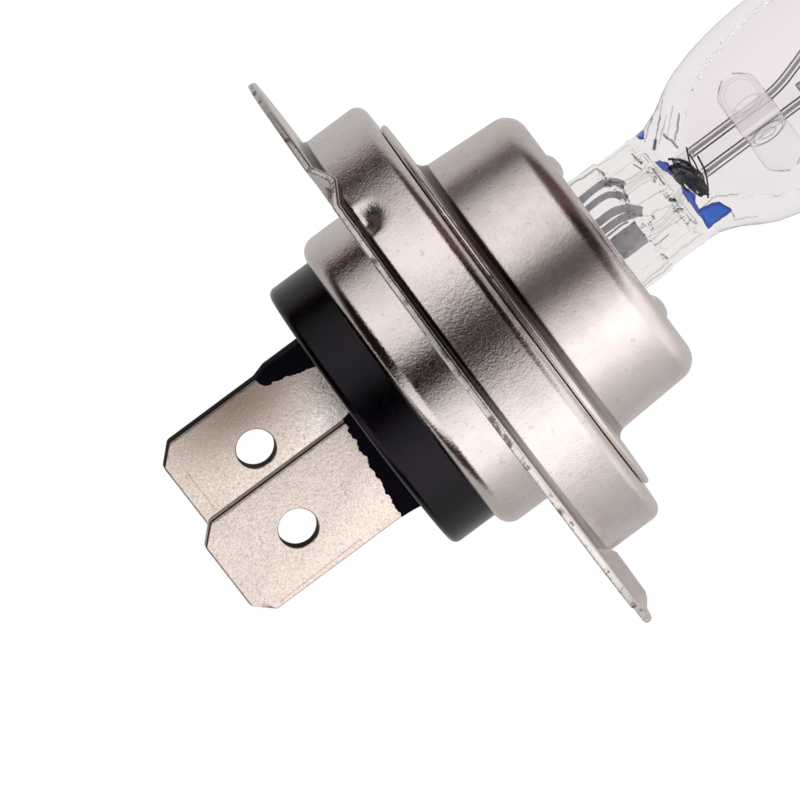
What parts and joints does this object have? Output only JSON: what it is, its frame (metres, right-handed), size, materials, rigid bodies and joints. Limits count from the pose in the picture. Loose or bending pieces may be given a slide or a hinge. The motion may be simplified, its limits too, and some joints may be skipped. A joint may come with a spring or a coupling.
{
  "type": "headlight bulb",
  "caption": "Single-filament halogen headlight bulb: clear quartz burner in a stepped, flanged metal cap with two parallel flat terminals in a black moulding.",
  "frame": {"origin": "on the lamp axis, at the front face of the flange plate, the plane that seats in a lamp housing", "axes": "+Z along the lamp axis towards the glass, +X along the two lugs of the flange towards the fuller lug, -Y on the side of the near terminal"},
  "size_m": [0.0362, 0.029, 0.0582],
  "materials": {
    "nickel_plate": "satin nickel plate over drawn steel, fine grain",
    "terminal_nickel": "nickel-plated blade with a sand-grained, slightly warm surface",
    "spring_steel": "plain spring strip",
    "black_moulding": "black heat-proof moulding, low sheen",
    "quartz": "clear fused quartz",
    "lead_wire": "drawn molybdenum wire",
    "foil": "molybdenum foil seen through the seal",
    "tungsten": "bright drawn tungsten",
    "tip_coat": "opaque dark coat"
  },
  "bodies": {
    "root": {"focus_ring": "nickel_plate", "rear_barrel": "nickel_plate", "front_cup": "nickel_plate", "pinch_retainer": "spring_steel", "pinch_clip_near": "spring_steel", "pinch_clip_far": "spring_steel", "terminal_near": "terminal_nickel", "terminal_far": "terminal_nickel", "insulator_base": "black_moulding", "glass_envelope": "quartz", "quartz_bridge": "quartz", "inner_lead_long": "lead_wire", "inner_lead_short": "lead_wire", "outer_lead_long": "lead_wire", "outer_lead_short": "lead_wire", "seal_foil_long": "foil", "seal_foil_short": "foil", "filament": "tungsten", "filament_crimp_lower": "lead_wire", "filament_crimp_upper": "lead_wire", "tip_coating": "tip_coat"}
  },
  "joints": []
}
